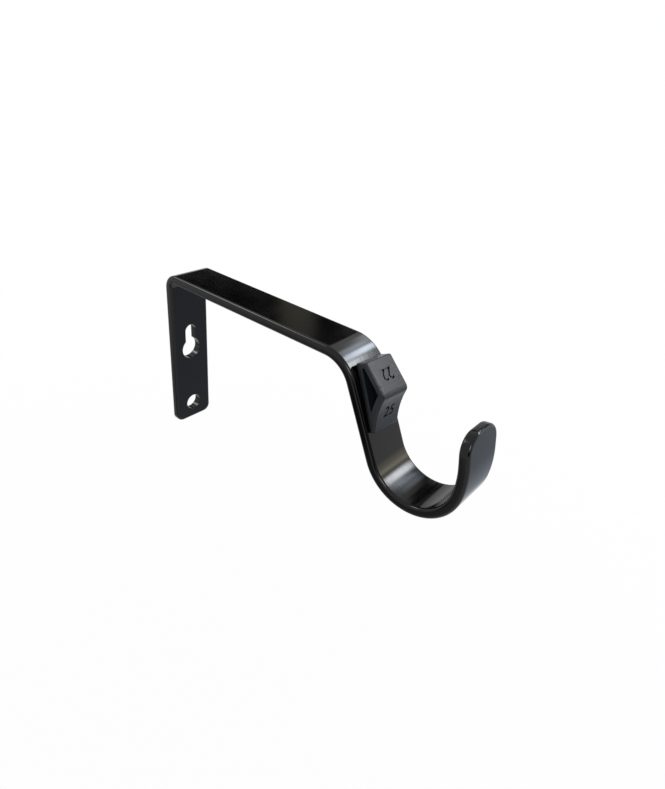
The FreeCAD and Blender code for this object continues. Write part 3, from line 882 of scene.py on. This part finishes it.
def figures(text, place, reading, up):
    """A number as a solid block that stands in the surface, ready to be cut from it."""
    curve = bpy.data.curves.new("figures", "FONT")
    curve.body = text
    curve.size = FIGURE_HEIGHT / TYPE_SHARE
    curve.align_x = "CENTER"
    curve.align_y = "CENTER"
    curve.extrude = FIGURE_DEPTH
    curve.offset = FIGURE_BOLDNESS
    curve.resolution_u = FIGURE_STEPS
    letters = bpy.data.objects.new("letters", curve)
    bpy.context.scene.collection.objects.link(letters)
    block = bpy.data.objects.new("figures", bpy.data.meshes.new_from_object(
        letters.evaluated_get(bpy.context.evaluated_depsgraph_get())))
    bpy.data.objects.remove(letters)
    bpy.context.scene.collection.objects.link(block)
    turn = Matrix((reading, up, reading.cross(up))).transposed().to_4x4()
    block.data.transform(Matrix.Translation(place) @ turn)
    shape = bmesh.new()
    shape.from_mesh(block.data)
    bmesh.ops.remove_doubles(shape, verts=shape.verts, dist=SAME_POINT)
    bmesh.ops.recalc_face_normals(shape, faces=shape.faces)
    shape.to_mesh(block.data)
    shape.free()
    return block


def in_space(point):
    """A point of the side view, in the plane through the middle of the wedge."""
    return Vector((point.x, 0, point.y))


hollow_middle = hollow + ((crest_end + lower_top) / 2 - hollow).normalized() * HOLLOW_RADIUS
hollow_up = (crest_end - lower_top).normalized()
straight_middle = (upper_top + crest_start) / 2
blocks = [figures("25", in_space(hollow_middle), Vector((0, 1, 0)), in_space(hollow_up)),
          figures("22", in_space(straight_middle), Vector((0, -1, 0)), in_space(straight))]
for block in blocks:
    combine(wedge, block, "DIFFERENCE")
bake(wedge, blocks)
print("figures cut, faces:", len(wedge.data.polygons))

# %% [markdown]
# The wedge was made flat, around its own peg. Now it goes where the front bend ends, a short way
# down the slope. In the photograph it isn't quite square to the bar, so it is turned a few
# degrees about its peg. The turn goes into the mesh, and the object itself stays at the origin.

# %% Adaptor on its slope
SLOPE_DOWN = Vector((math.cos(SLOPE_TURN), 0, -math.sin(SLOPE_TURN)))
SLOPE_OUT = Vector((math.sin(SLOPE_TURN), 0, math.cos(SLOPE_TURN)))
FRONT_CENTRE = Vector((ARM_REACH, 0, ARM_RISE - FRONT_RADIUS))
STUD_PLACE = FRONT_CENTRE + SLOPE_OUT * FRONT_RADIUS + SLOPE_DOWN * STUD_DISTANCE
ADAPTOR_TURN = math.radians(-3.45)
soften(wedge)
seat = Matrix((SLOPE_DOWN, Vector((0, 1, 0)), SLOPE_OUT)).transposed().to_4x4()
wedge.data.transform(Matrix.Translation(STUD_PLACE) @ seat
                     @ Matrix.Rotation(ADAPTOR_TURN, 4, "Z"))
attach(wedge, "root")
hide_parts("pole_adaptor")
print("adaptor turned on its stud, degrees:", round(math.degrees(ADAPTOR_TURN), 2))

# %% [markdown]
# The plastic is matt next to the coat: a dark, slightly blue grey with the fine grain of a
# spark-eroded mould. It mirrors the same lamps, but so softly that each face shows one even
# tone. A darker colour with more gloss would give the same brightness here, but not a soft edge.

# %% Adaptor plastic
PLASTIC_COLOUR = (0.008, 0.010, 0.013)
PLASTIC_ROUGHNESS = 0.30
PLASTIC_SPECULAR = 0.30
GRAIN_SIZE, GRAIN_HEIGHT = 0.35 * MM, 0.010 * MM
PLASTIC_CLOUD_SIZE, PLASTIC_CLOUD = 4 * MM, 0.04


def plastic_material():
    material, tree, output = new_material("moulded_plastic")
    place = tree.nodes.new("ShaderNodeTexCoord").outputs["Object"]
    surface = tree.nodes.new("ShaderNodeBsdfPrincipled")
    surface.inputs["Base Color"].default_value = (*PLASTIC_COLOUR, 1)
    surface.inputs["Specular IOR Level"].default_value = PLASTIC_SPECULAR
    grain = noise(tree, place, GRAIN_SIZE, detail=2.0)
    gloss = map_range(tree, noise(tree, place, PLASTIC_CLOUD_SIZE),
                      PLASTIC_ROUGHNESS - PLASTIC_CLOUD, PLASTIC_ROUGHNESS + PLASTIC_CLOUD)
    link_nodes(tree, (gloss, surface.inputs["Roughness"]),
               (bump(tree, grain, GRAIN_HEIGHT), surface.inputs["Normal"]),
               (surface.outputs[0], output.inputs["Surface"]))
    return material


wedge.data.materials.clear()
wedge.data.materials.append(plastic_material())
print("adaptor's material:", wedge.data.materials[0].name)
